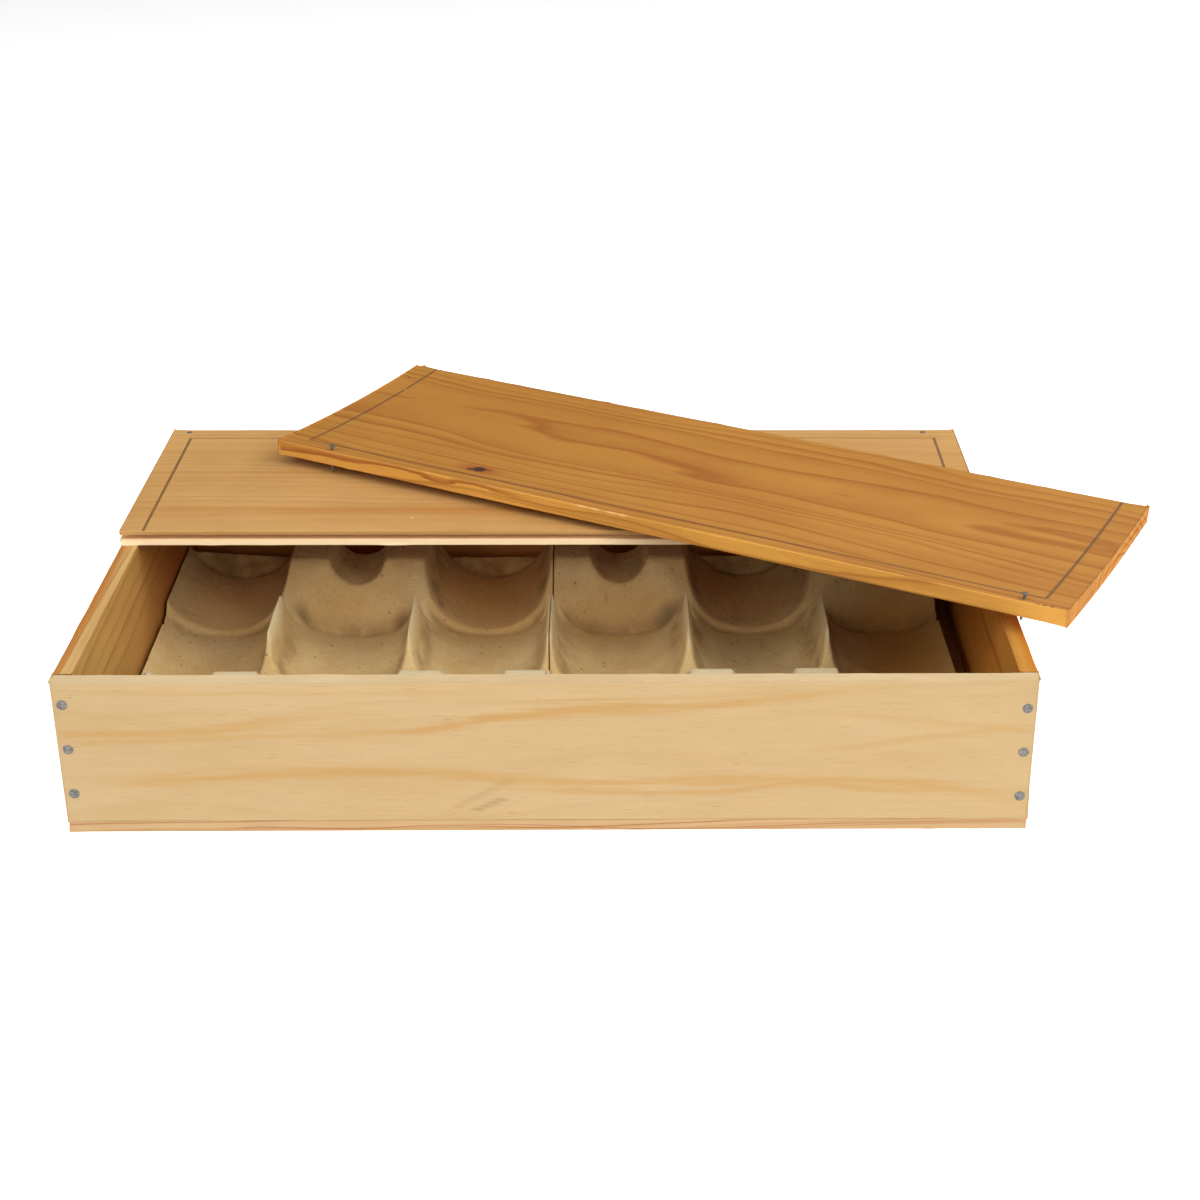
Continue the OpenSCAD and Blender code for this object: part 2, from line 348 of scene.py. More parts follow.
@dataclass(frozen=True)
class Pine:
    """Planed softwood: pale early wood, darker late wood at each ring, fine straight fibres."""

    name: str
    early: str
    top: str
    end: str
    # Painted light: the inner side's colour, warmer and brighter than the wood's own, for the bounce light inside the
    # crate
    inner: str
    late: str
    ring_mm: float
    pith_mm: Point
    tilt_deg: Point
    wobble_mm: float
    contrast: float
    seed: float
    fibre: float = 0.10
    blotch: float = 0.25
    fleck: float = 0.35
    roughness: float = 0.62
    ink: str = "#5f4128"

    def line_mask(self, tree: Tree, line: Line, parts: Sequence[Socket], wear: Socket) -> Socket:
        """Mask of a printed line with slightly worn edges, on the board's upper side alone.

        Args:
            tree: Node tree.
            line: The line.
            parts: X, Y and Z of the place on the board.
            wear: How much of the ink is left.

        Returns:
            How much of the ink shows.
        """
        reach = []
        for place, (low, high) in zip(parts, (line.x, line.y)):
            off = calc(tree, "SUBTRACT", place, (low + high) / 2)
            reach.append(calc(tree, "SUBTRACT", calc(tree, "ABSOLUTE", off), (high - low) / 2))
        far = calc(tree, "MAXIMUM", *reach)
        inside = ranged(tree, far, (-0.25, 0.2), (line.strength, 0.0), smooth=True)
        inside = calc(tree, "MULTIPLY", inside, wear)
        return calc(tree, "MULTIPLY", inside, calc(tree, "GREATER_THAN", parts[2], INK_LOW))

    def streak_mask(self, tree: Tree, streak: Streak, parts: Sequence[Socket], haze: Socket) -> Socket:
        """Mask of a band that follows its points along the board, with frayed sides.

        Args:
            tree: Node tree.
            streak: The band.
            parts: X, Y and Z of the place on the board.
            haze: Noise about 0.5 that frays the sides.

        Returns:
            How much of the band's colour shows.
        """
        start, stop = streak.points[0][0], streak.points[-1][0]
        along = ranged(tree, parts[0], (start, stop))
        curve = add_node(tree, "FloatCurve", {"Value": along})
        line = curve.node.mapping.curves[0]
        spots = [((x - start) / (stop - start), z / STREAK_TOP) for x, z in streak.points]
        line.points[0].location, line.points[1].location = spots[0], spots[-1]
        for spot in spots[1:-1]:
            line.points.new(*spot)
        curve.node.mapping.update()
        off = calc(tree, "SUBTRACT", parts[2], calc(tree, "MULTIPLY", curve, STREAK_TOP))
        frayed = calc(tree, "SUBTRACT", haze, 0.5)
        off = calc(tree, "MULTIPLY_ADD", frayed, (streak.above + streak.below) * 1.1, off)
        mask = ranged(tree, off, (-streak.below, 0.0), (0.0, streak.strength), smooth=True)
        first, last = streak.fade
        for value, span in ((off, (streak.above, 0.0)), (along, (0.0, first)), (along, (1.0, 1.0 - last))):
            mask = calc(tree, "MULTIPLY", mask, ranged(tree, value, span, smooth=True))
        return mask

    def build(self, matrix: Matrix, face: Face, marks: Iterable[Line | Spot | Streak]) -> bpy.types.Material:
        """Makes the wood of one kind of face.

        Args:
            matrix: Place of the board's frame in the crate, in millimetres.
            face: Kind of face.
            marks: Printed lines, spots and streaks on it.

        Returns:
            The material.
        """
        material, tree, shader = new_material(f"{self.name}_{face.name.lower()}")
        where = add_node(tree, "TexCoord", out="Object")
        inputs = {
            "Vector": where,
            "Location": matrix.translation / 1000,
            "Rotation": matrix.to_euler(),
            "Scale": (0.001, 0.001, 0.001),
        }
        place = add_node(tree, "Mapping", inputs, vector_type="TEXTURE")
        split = add_node(tree, "SeparateXYZ", {0: place})
        parts = [split.node.outputs[i] for i in range(3)]

        # The trunk is not quite round or straight: the rings wander a few millimetres over a few hundred
        drift = grain_noise(tree, place, (0.0042, 0.021, 0.021), 2.5, 0.45, (self.seed,) * 3, "Color")
        drift = add_node(tree, "VectorMath", {0: drift, 1: (0.5, 0.5, 0.5)}, operation="SUBTRACT")
        drift = add_node(tree, "VectorMath", {0: drift, "Scale": self.wobble_mm * 2}, operation="SCALE")
        trunk = add_node(tree, "VectorMath", {0: place, 1: drift}, operation="ADD")
        turn = (0.0, math.radians(self.tilt_deg[0]), math.radians(self.tilt_deg[1]))
        shift = (0.0, -self.pith_mm[0], -self.pith_mm[1])
        trunk = add_node(tree, "Mapping", {"Vector": trunk, "Rotation": turn, "Location": shift})
        round_it = add_node(tree, "VectorMath", {0: trunk, 1: (0.0, 1.0, 1.0)}, operation="MULTIPLY")
        radius = add_node(tree, "VectorMath", {0: round_it}, "Value", operation="LENGTH")
        ring = calc(tree, "DIVIDE", radius, self.ring_mm)
        uneven = add_node(tree, "TexNoise", {"W": ring, "Scale": 0.6, "Detail": 1.0}, noise_dimensions="1D")
        ring = calc(tree, "MULTIPLY_ADD", uneven, 1.6, ring)
        year = calc(tree, "FLOOR", ring)
        share = calc(tree, "FRACT", ring)
        late = add_node(tree, "ValToRGB", {0: share})
        set_ramp(late, [(0.0, 0.0), (0.30, 0.06), (0.66, 0.42), (0.88, 1.0), (0.945, 0.62), (1.0, 0.0)])
        late.node.color_ramp.interpolation = "EASE"
        weather = add_node(tree, "TexWhiteNoise", {"W": year}, noise_dimensions="1D")
        weather = ranged(tree, weather, made=(0.3, 1.0))
        late = calc(tree, "MULTIPLY", late, weather)
        gain = self.contrast * (1.25 if face is Face.END else 1.0)
        late = calc(tree, "MULTIPLY", late, gain, use_clamp=True)

        # Blotches of warmer and cooler wood, a hand's breadth long
        cloud = grain_noise(tree, place, (0.009, 0.03, 0.03), 3.0, shift=(self.seed * 3,) * 3)
        cloud = ranged(tree, cloud, (0.36, 0.66), (0.0, self.blotch))
        # The inner side's colour is painted light
        early = {Face.SIDE: self.early, Face.TOP: self.top, Face.END: self.end, Face.INNER: self.inner}[face]
        colour = blend(tree, early, cloud, self.late)
        colour = blend(tree, colour, late, self.late)

        # Fibres 0.4 mm wide and a few centimetres long, drawn a little coarser than real so that they show
        fine = (0.25, 1.6, 1.6) if face is Face.END else (0.03, 1.3, 1.3)
        thread = grain_noise(tree, place, fine, 4.0, 0.62)
        shade = ranged(tree, thread, (0.3, 0.7), (1 - self.fibre, 1 + self.fibre * 0.6))
        colour = add_node(tree, "VectorMath", {0: colour, "Scale": shade}, operation="SCALE")

        # Short darker pores of resin, up to 8 mm long
        pore = grain_noise(tree, place, (0.11, 1.7, 1.7), 1.0, shift=(9.0, 2.0, 5.0))
        pore = ranged(tree, pore, (0.69, 0.78), (0.0, self.fleck), smooth=True)
        colour = blend(tree, colour, pore, "#8a5a2c")

        # Worn places in the printed lines, and the noise that frays the streaks
        wear = grain_noise(tree, place, (0.9, 2.2, 2.2), 3.0)
        wear = ranged(tree, wear, (0.28, 0.5), (0.55, 1.0))
        haze = grain_noise(tree, place, (0.022, 0.3, 0.3), 4.0, 0.6)
        for item in marks:
            if isinstance(item, Line):
                mask, tint = self.line_mask(tree, item, parts, wear), self.ink
            elif isinstance(item, Spot):
                mask, tint = spot_mask(tree, item, place), item.colour
            else:
                mask, tint = self.streak_mask(tree, item, parts, haze), item.colour
            colour = blend(tree, colour, mask, tint)

        rough = ranged(tree, thread, made=(self.roughness - 0.08, self.roughness + 0.1))
        relief = calc(tree, "MULTIPLY_ADD", late, -0.6, thread)
        bump = add_node(tree, "Bump", {"Height": relief, "Strength": 0.35, "Distance": 0.00022})
        gloss = 0.1 if face is Face.END else 0.35
        feed(tree, shader, {"Base Color": colour, "Roughness": rough, "Normal": bump, "Specular IOR Level": gloss})
        return material


@dataclass(frozen=True)
class MouldedPulp:
    """Moulded paper pulp: matt, felted, with dark specks and pale fibres."""

    name: str = "moulded_pulp"
    base: str = "#c8ad7a"
    warm: str = "#bc9b63"
    # Colour of the painted highlight on the lit crests
    pale: str = "#c6b793"
    speck: str = "#6a4a2c"
    fibre: str = "#d0c09c"
    # Colour of the painted shade in creases and on the low end walls
    crease_shade: str = "#5a3d20"
    # Painted light and shade: warm bounce light under the lid and in the first body cell, the prised board's painted
    # shadow on the right-hand cells, painted shade by the ridges' ends, and two narrow reddish-brown streaks
    light_and_shade_patches: tuple[Spot, ...] = (
        Spot((0.0, 96.0, 6.0), (320.0, 84.0, 44.0), "#cf9a58", 0.9, 0.9),
        Spot((210.0, 10.0, 6.0), (66.0, 190.0, 60.0), "#b0803c", 0.95, 0.9),
        Spot((-205.0, 92.0, 10.0), (46.0, 66.0, 40.0), "#e4b67a", 0.85, 0.9),
        Spot((-160.0, 46.0, 22.0), (10.0, 12.0, 14.0), "#5b4530", 0.6, 0.9),
        Spot((-95.0, 44.0, 18.0), (12.0, 9.0, 12.0), "#5b4a36", 0.4, 0.9),
        Spot((-76.0, 58.0, 22.0), (6.0, 8.0, 8.0), "#6b4326", 0.6, 0.8),
        Spot((66.0, 46.0, 22.0), (16.0, 10.0, 16.0), "#5a5044", 0.55, 0.9),
        Spot((15.4, 78.0, 39.0), (3.4, 14.0, 10.0), "#8a4a1c", 0.6, 0.9),
        Spot((27.0, 52.0, 30.0), (2.4, 12.0, 8.0), "#8a4a1c", 0.5, 0.9),
    )

    def build(self) -> bpy.types.Material:
        """Makes the pulp, with painted shade in the mesh's "hollow" places and a painted highlight on its "crest"
        places.
        """
        material, tree, shader = new_material(self.name)
        place = crate_place(tree)
        cloud = add_node(tree, "TexNoise", {"Vector": place, "Scale": 0.045, "Detail": 3.0})
        cloud = ranged(tree, cloud, (0.35, 0.65), (0.0, 0.7))
        colour = blend(tree, self.base, cloud, self.warm)
        # Felted fibres, 0.5 to 1.5 mm, coarse enough to show
        felt = add_node(tree, "TexNoise", {"Vector": place, "Scale": 0.9, "Detail": 4.0, "Roughness": 0.65})
        shade = ranged(tree, felt, (0.3, 0.7), (0.86, 1.12))
        colour = add_node(tree, "VectorMath", {0: colour, "Scale": shade}, operation="SCALE")
        for tint, scale, low, high, strength in (
            (self.speck, 0.16, 0.10, 0.14, 0.75),
            (self.speck, 0.42, 0.08, 0.14, 0.6),
            (self.fibre, 0.3, 0.08, 0.14, 0.7),
        ):
            dots = add_node(tree, "TexVoronoi", {"Vector": place, "Scale": scale, "Randomness": 1.0}, "Distance")
            dots = ranged(tree, dots, (low, high), (strength, 0.0))
            few = add_node(tree, "TexNoise", {"Vector": place, "Scale": scale * 0.9, "Detail": 0.0})
            few = ranged(tree, few, (0.5, 0.6))
            dots = calc(tree, "MULTIPLY", dots, few)
            colour = blend(tree, colour, dots, tint)
        # Painted highlight: paler on the lit ridge tops and on the flat tops near the open front
        crest = add_node(tree, "Attribute", out="Fac", attribute_name="crest")
        colour = blend(tree, colour, crest, self.pale)
        # Patches of painted light and shade
        for spot in self.light_and_shade_patches:
            mask = spot_mask(tree, spot, place)
            colour = blend(tree, colour, mask, spot.colour)
        # Painted shade in creases and on the low end walls under the lid, made patchy by noise
        crease = add_node(tree, "Attribute", out="Fac", attribute_name="hollow")
        light_and_shade_patches = add_node(tree, "TexNoise", {"Vector": place, "Scale": 0.08, "Detail": 3.0})
        light_and_shade_patches = ranged(tree, light_and_shade_patches, (0.35, 0.6), (0.3, 1.0))
        crease = calc(tree, "MULTIPLY", crease, light_and_shade_patches, use_clamp=True)
        colour = blend(tree, colour, crease, self.crease_shade)
        dents = add_node(tree, "TexNoise", {"Vector": place, "Scale": 0.16, "Detail": 2.0})
        relief = calc(tree, "MULTIPLY_ADD", dents, 2.0, felt)
        bump = add_node(tree, "Bump", {"Height": relief, "Strength": 0.9, "Distance": 0.0005})
        feed(tree, shader, {"Base Color": colour, "Normal": bump, "Roughness": 0.93, "Specular IOR Level": 0.15})
        return material


@dataclass(frozen=True)
class GalvanisedSteel:
    """Zinc-coated nail steel, drawn and stamped: dull grey with darker oxide patches."""

    name: str = "galvanised_steel"
    light: str = "#7c7871"
    dark: str = "#59554f"

    def build(self) -> bpy.types.Material:
        """Makes the metal."""
        material, tree, shader = new_material(self.name)
        place = crate_place(tree)
        patch = add_node(tree, "TexNoise", {"Vector": place, "Scale": 0.9, "Detail": 3.0})
        patch = ranged(tree, patch, (0.38, 0.62))
        colour = blend(tree, self.dark, patch, self.light)
        rough = ranged(tree, patch, made=(0.62, 0.42))
        bump = add_node(tree, "Bump", {"Height": patch, "Strength": 0.4, "Distance": 0.0001})
        feed(tree, shader, {"Base Color": colour, "Roughness": rough, "Normal": bump, "Metallic": 0.4})
        return material


@dataclass
class Board:
    """A sawn board, swept along its grain, with slightly rough arrises and ends."""

    node: str
    length: float
    outline: list[Point]
    origin: tuple[float, float, float]
    finish: Pine
    turn_deg: tuple[float, float, float] = (0.0, 0.0, 0.0)
    pivot: tuple[float, float, float] = (0.0, 0.0, 0.0)
    arris: float = 0.45
    wear: float = 0.35
    corner: float = 1.0
    inside: tuple[float, float, float] = (0.0, 0.0, 0.0)
    end_reach: float = 12.0
    step: float = 5.0
    seed: int = 1
    marks: dict[Face, Sequence] = field(default_factory=dict)

    def matrix(self) -> Matrix:
        """Place of the board's frame in the crate, in millimetres."""
        turn = Matrix.Identity(4)
        for axis, angle in zip("YZX", (self.turn_deg[1], self.turn_deg[2], self.turn_deg[0])):
            turn = Matrix.Rotation(math.radians(angle), 4, axis) @ turn
        return Matrix.Translation(self.origin) @ turn @ Matrix.Translation([-v for v in self.pivot])

    def rounded(self) -> tuple[np.ndarray, np.ndarray, np.ndarray]:
        """Rounds the section's corners.

        Returns:
            Points of the outline, the way in which each roughens, and its share of the roughness.
        """
        points = [np.array(p, float) for p in self.outline]
        made, ways, shares = [], [], []
        for number, here in enumerate(points):
            before, after = points[number - 1], points[(number + 1) % len(points)]
            a, b = before - here, after - here
            la, lb = np.linalg.norm(a), np.linalg.norm(b)
            a, b = a / la, b / lb
            if a @ b < -0.9:
                normal = np.array([-(b - a)[1], (b - a)[0]])
                made.append(here)
                ways.append(normal / np.linalg.norm(normal))
                shares.append(0.0)
                continue
            radius = min(self.arris, la * 0.3, lb * 0.3)
            middle = here + (a + b) * radius
            hold = min(radius * 0.7, la * 0.15, lb * 0.15)
            made += [here + a * (radius + hold), here + a * radius]
            for share in (0.25, 0.5, 0.75):
                side = -b * math.cos(share * math.pi / 2) - a * math.sin(share * math.pi / 2)
                made.append(middle + side * radius)
            made += [here + b * radius, here + b * (radius + hold)]
            bend = a[0] * b[1] - a[1] * b[0]
            ways += [(a + b) / np.linalg.norm(a + b) * (1.0 if bend < 0 else -1.0)] * 7
            shares += [0.0, 0.5, 1.0, 1.0, 1.0, 0.5, 0.0]
        return np.array(made), np.array(ways), np.array(shares)

    def build(self) -> bpy.types.Object:
        """Makes the board and its wood."""
        points, ways, shares = self.rounded()
        half, r = self.length / 2, self.arris
        inner = np.linspace(-half + 2 * r, half - 2 * r, max(3, int(self.length / self.step)))
        ends = [(half, r), (half - r * 0.29, r * 0.29), (half - r, 0.0)]
        stations = [(-x, d) for x, d in ends] + [(x, 0.0) for x in inner] + [(x, d) for x, d in reversed(ends)]
        normal = np.roll(points, -1, axis=0) - np.roll(points, 1, axis=0)
        normal = np.c_[-normal[:, 1], normal[:, 0]]
        normal /= np.linalg.norm(normal, axis=1)[:, None]
        count = len(points)
        wide = np.abs(points[:, 0]).max()
        rows = []
        for x, offset in stations:
            at = np.c_[np.full(count, x / 9.0), points / 5.0]
            near = max(0.0, 1 - (half - abs(x)) / self.end_reach)
            rough = np.clip(value_noise(at, self.seed), 0, 1) ** 2 * self.wear
            rough = (rough + near * self.wear * 0.8) * shares
            section = points + ways * rough[:, None] + normal * offset
            past = np.clip(np.abs(section[:, 0]) - wide + self.corner, 0, self.corner)
            cut = self.corner - np.sqrt(self.corner**2 - past**2)
            rows.append(np.c_[x - math.copysign(1, x) * cut * near, section])
        verts = np.vstack(rows)
        faces = []
        for row in range(len(rows) - 1):
            for k in range(count):
                n = (k + 1) % count
                faces.append((row * count + k, (row + 1) * count + k, (row + 1) * count + n, row * count + n))
        last = (len(rows) - 1) * count
        faces.append(tuple(range(count)))
        faces.append(tuple(range(last + count - 1, last - 1, -1)))
        obj = make_object(self.node + "_wood", verts, faces, self.matrix())
        self.dress(obj, verts)
        settle(obj, self.node)
        return obj

    def dress(self, obj: bpy.types.Object, verts: np.ndarray) -> None:
        """Gives each face its kind of wood and smooths all but the flat ends.

        Args:
            obj: The board.
            verts: Its vertices in its own frame; not used.
        """
        matrix = self.matrix()
        for face in Face:
            obj.data.materials.append(self.finish.build(matrix, face, self.marks.get(face, ())))
        back = matrix.to_3x3().inverted()
        for polygon in obj.data.polygons:
            way = back @ polygon.normal
            kind = Face.END if abs(way.x) > 0.8 else Face.TOP if way.z > 0.9 else Face.SIDE
            # Faces towards the crate's inside take the inner colour, which is painted light
            if way.dot(Vector(self.inside)) > 0.9:
                kind = Face.INNER
            polygon.material_index = kind.value
            polygon.use_smooth = abs(way.x) < 0.99


def plank(width: float, thick: float, low: float = 0.0) -> list[Point]:
    """Outline of a plain board, centred across.

    Args:
        width: Size across, along Y.
        thick: Size along Z.
        low: Height of its underside.

    Returns:
        The corners, going round clockwise as seen from +X.
    """
    w = width / 2
    return [(-w, low), (-w, low + thick), (w, low + thick), (w, low)]


def soft_min(a: np.ndarray, b: np.ndarray, k: float) -> np.ndarray:
    """Lower of two heights, blended over k."""
    h = np.clip(0.5 + 0.5 * (b - a) / k, 0, 1)
    return b * (1 - h) + a * h - k * h * (1 - h)


def soft_max(a: np.ndarray, b: np.ndarray, k: float) -> np.ndarray:
    """Higher of two heights, blended over k."""
    return -soft_min(-a, -b, k)


def trough(x: np.ndarray, radius: float, axis: float) -> np.ndarray:
    """Height of a round trough's surface, rising steeply beyond its width."""
    inside = np.clip(radius * radius - x * x, 0, None)
    return axis - np.sqrt(inside) + np.clip(np.abs(x) - radius, 0, None) * 9


@dataclass
class PulpTray:
    """A moulded pulp tray for three bottles head to tail, drawn as one soft sheet."""

    node: str
    origin: tuple[float, float, float]
    turn_deg: float
    seed: int
    finish: MouldedPulp
    pitch: float = 79.5
    length: float = 270.0
    trim_w: float = 34.0
    trim_skew: float = 0.5
    wall: float = 2.2
    block_h: float = 43.0
    ridge_h: float = 41.5
    cell_r: float = 38.4
    body_r: float = 38.0
    body_z: float = 42.8
    neck_r: float = 17.0
    neck_z: float = 45.5
    mouth_r: float = 20.0
    mouth_z: float = 37.0
    lip_h: float = 16.5
    lip_rise: float = 5.0
    ridge_end: float = 24.5
    ridge_slope: float = 0.48
    face_top: float = 73.5
    face_slope: float = 1.25
    bowl_end: float = 51.0
    bowl_r: float = 43.0
    bowl_slope: float = 0.6
    mouth_start: float = 116.0
    lip_start: float = 132.8
    floor: float = 2.6
    chamfer: Point = (13.5, 18.5)
    crest_lift: float = 1.3
    curl: float = 1.1
    dent: float = 0.22
    dent_mm: float = 17.0
    skew_reach: float = 20.0
    soft: float = 0.6
    step: float = 1.3

    def cell(self, x: np.ndarray, y: np.ndarray, rise: float) -> np.ndarray:
        """Surface of one cell, its trough and its neck channel.

        Args:
            x: Distance from the cell's middle.
            y: Distance along it, positive towards the bottle's base.
            rise: Rise of the lip towards the trimmed corner.

        Returns:
            Height of the cut surface, high outside the cell.
        """
        # Beyond the edge of each cut its surface climbs steeply, and the factors say how steeply
        r, square = self.cell_r, 2.4
        share = np.clip(1 - np.abs(x / r) ** square, 0, None) ** (1 / square)
        section = self.floor + r - r * share + np.clip(np.abs(x) - r, 0, None) * 30
        rho = np.hypot(x, np.clip(np.abs(y) - (self.bowl_end - self.bowl_r), 0, None))
        bowl = self.floor + (rho - self.bowl_r) / self.bowl_slope
        made = soft_max(section, bowl, 1.6)
        body = trough(x, self.body_r, self.body_z) + np.clip(self.ridge_end - y, 0, None) * 6
        lip = self.lip_h + rise * np.clip(0.5 - x / (2 * self.body_r * 0.87), 0, 1)
        lip = lip + np.clip(np.abs(x) - self.body_r * 0.9, 0, None) * 4
        body = np.where(y > self.lip_start, np.maximum(body, lip), body)
        neck = trough(x, self.neck_r, self.neck_z) + np.clip(self.bowl_end + y, 0, None) * 6
        mouth = trough(x, self.mouth_r, self.mouth_z) + np.clip(self.mouth_start + y, 0, None) * 5
        made = soft_min(made, body, 1.6)
        return soft_min(soft_min(made, neck, 1.6), mouth, 1.2)

    def height(self, x: np.ndarray, y: np.ndarray) -> np.ndarray:
        """Height of the tray's upper side above its foot."""
        crest = self.ridge_h + self.crest_lift
        ridge = crest - (np.abs(y) - self.ridge_end) / self.ridge_slope
        ridge = soft_min(ridge, np.full_like(x, crest), 2.0)
        block = self.block_h - (self.face_top - np.abs(y)) / self.face_slope
        block = soft_min(block, np.full_like(x, self.block_h), 1.8)
        made = soft_max(soft_max(ridge, block, 6.0), np.full_like(x, 14.0), 5.0)
        for number in range(3):
            way = -1 if number % 2 else 1
            cut = self.cell(x - number * self.pitch, y * way, self.lip_rise if number == 0 else 0.0)
            made = soft_min(made, cut, 1.1)
        skew = math.radians(self.trim_skew)
        off = x * math.cos(skew) + y * math.sin(skew) + self.trim_w
        return soft_min(made, self.block_h - self.chamfer[1] + off * self.chamfer[1] / self.chamfer[0], 1.4)

    def sheet(self, xs: np.ndarray, ys: np.ndarray) -> np.ndarray:
        """Heights on a grid, softened as pulp is when it is drawn from its mould.

        Args:
            xs: Places across the tray.
            ys: Places along it.

        Returns:
            Heights, one row for each place along.
        """
        fine = 0.5
        gx = np.arange(xs[0] - 4, xs[-1] + 4 + fine, fine)
        gy = np.arange(ys[0] - 4, ys[-1] + 4 + fine, fine)
        xx, yy = np.meshgrid(np.clip(gx, xs[0], xs[-1]), np.clip(gy, ys[0], ys[-1]))
        z = self.height(xx, yy)
        reach = int(3 * self.soft / fine)
        taps = np.exp(-0.5 * (np.arange(-reach, reach + 1) * fine / self.soft) ** 2)
        taps /= taps.sum()
        for axis in (0, 1):
            z = np.apply_along_axis(lambda row: np.convolve(np.pad(row, reach, "edge"), taps, "valid"), axis, z)
        rows = np.array([np.interp(xs, gx, row) for row in z])
        return np.array([np.interp(ys, gy, column) for column in rows.T]).T

    def build(self) -> bpy.types.Object:
        """Makes the tray as a closed shell: upper side, lower side and edge."""
        width = self.trim_w + 2.5 * self.pitch
        side = [0.0, 0.35, 0.9, 1.7]
        xs = np.linspace(-self.trim_w, width - self.trim_w, int(width / self.step))
        ys = np.linspace(-self.length / 2, self.length / 2, int(self.length / self.step))
        xs = np.unique(np.r_[xs[2:-2], xs[0] + side, xs[-1] - side])
        ys = np.unique(np.r_[ys[2:-2], ys[0] + side, ys[-1] - side])
        z = self.sheet(xs, ys)
        xx, yy = np.meshgrid(xs, ys)
        away = np.minimum(np.minimum(xx - xs[0], xs[-1] - xx), np.minimum(yy - ys[0], ys[-1] - yy))
        curl = self.curl
        z = z - (curl - np.sqrt(np.clip(curl**2 - np.clip(curl - away, 0, None) ** 2, 0, None)))
        spots = np.c_[xx.ravel(), yy.ravel()] / self.dent_mm
        z = z + self.dent * value_noise(spots, self.seed).reshape(z.shape)
        skew = math.tan(math.radians(self.trim_skew))
        lean = np.clip(1 - (xx - xs[0]) / self.skew_reach, 0, 1)
        xx = xx - yy * skew * lean
        wide, deep = len(xs), len(ys)
        upper = np.c_[xx.ravel(), yy.ravel(), z.ravel()]
        lower = upper.copy()
        lower[:, 2] = np.maximum(self.lower(z), 0.0).ravel()
        verts = np.vstack([upper, lower])
        base = wide * deep
        at = np.arange(base).reshape(deep, wide)
        quads = np.stack([at[:-1, :-1], at[:-1, 1:], at[1:, 1:], at[1:, :-1]], axis=-1).reshape(-1, 4)
        rim = np.r_[at[0, :], at[1:, -1], at[-1, -2::-1], at[-2:0:-1, 0]]
        foot = verts[rim].copy()
        foot[:, 2] = 0.0
        verts = np.vstack([verts, foot])
        feet = 2 * base + np.arange(len(rim))
        after = np.roll(np.arange(len(rim)), -1)
        outer = np.stack([rim, feet, feet[after], rim[after]], axis=-1)
        inner = np.stack([feet, rim + base, rim[after] + base, feet[after]], axis=-1)
        faces = np.vstack([quads, quads[:, ::-1] + base, outer, inner])
        place = Matrix.Translation(self.origin) @ Matrix.Rotation(math.radians(self.turn_deg), 4, "Z")
        obj = make_object(self.node + "_pulp", verts, faces.tolist(), place)
        self.shade(obj, yy, z, base, len(verts))
        settle(obj, self.node)
        return obj

    def lower(self, z: np.ndarray) -> np.ndarray:
        """Underside of the sheet: the upper side less the wall, measured square to the slope.

        Args:
            z: Heights of the upper side.

        Returns:
            Heights of the underside.
        """
        gy, gx = np.gradient(z, self.step)
        return z - self.wall * np.clip(np.sqrt(1 + gx**2 + gy**2), 1, 3.5)

    def shade(self, obj: bpy.types.Object, yy: np.ndarray, z: np.ndarray, base: int, count: int) -> None:
        """Stores how far each place lies in a crease or on a crest, for painted shade and a painted highlight, and
        smooths the sheet.

        Args:
            obj: The tray.
            yy: Places along the tray.
            z: Heights of the upper side.
            base: Number of vertices of the upper side.
            count: Number of all vertices.
        """
        # Painted shade: the deeper a place lies below its blurred surroundings, the darker it is painted
        reach = 5
        box = np.ones(2 * reach + 1) / (2 * reach + 1)
        wide = z
        for axis in (0, 1):
            wide = np.apply_along_axis(lambda row: np.convolve(np.pad(row, reach, "edge"), box, "valid"), axis, wide)
        hollow = np.zeros(count)
        hollow[:base] = np.clip((wide - z).ravel() / 4.0 - 0.06, 0, 0.42)
        # Painted shade on the low end walls, which lie in the lid's shade
        low_end = (np.abs(yy) > self.lip_start - 3) & (z < self.lip_h + self.lip_rise)
        hollow[:base] = np.maximum(hollow[:base], np.where(low_end, 0.5, 0.0).ravel())
        # Painted highlight on the ridge tops, and more strongly on the flat tops near the open front
        crest = np.zeros(count)
        crest[:base] = (0.6 * np.clip((z - 30) / 10, 0, 1) * np.clip((46 - np.abs(yy)) / 12, 0, 1)).ravel()
        near = yy * math.cos(math.radians(self.turn_deg)) < -60
        crest[:base] += (0.9 * np.clip((z - 40) / 2, 0, 1) * near).ravel()
        for name, values in (("hollow", hollow), ("crest", crest)):
            layer = obj.data.attributes.new(name, "FLOAT", "POINT")
            layer.data.foreach_set("value", values.astype(np.float32))
        obj.data.materials.append(self.finish.build())
        obj.data.polygons.foreach_set("use_smooth", [True] * len(obj.data.polygons))
        obj.data.set_sharp_from_angle(angle=math.radians(70))


@dataclass
class Nail:
    """Sizes of one kind of nail."""

    head: float
    shank: float
    thick: float
    length: float
    point: float = 2.5

    def profile(self) -> list[Point]:
        """Radius and height of the lathe profile, from the head's middle to the tip."""
        h, s, t = self.head / 2, self.shank / 2, self.thick
        return [
            (0.0, 0.16),
            (h * 0.42, 0.2),
            (h * 0.52, 0.08),
            (h * 0.62, 0.22),
            (h * 0.86, 0.24),
            (h * 0.96, 0.12),
            (h, -t * 0.5),
            (h * 0.95, -t * 0.9),
            (s * 1.25, -t),
            (s, -t - 0.6),
            (s, self.point - self.length),
            (s * 0.55, self.point * 0.45 - self.length),
            (0.0, -self.length),
        ]


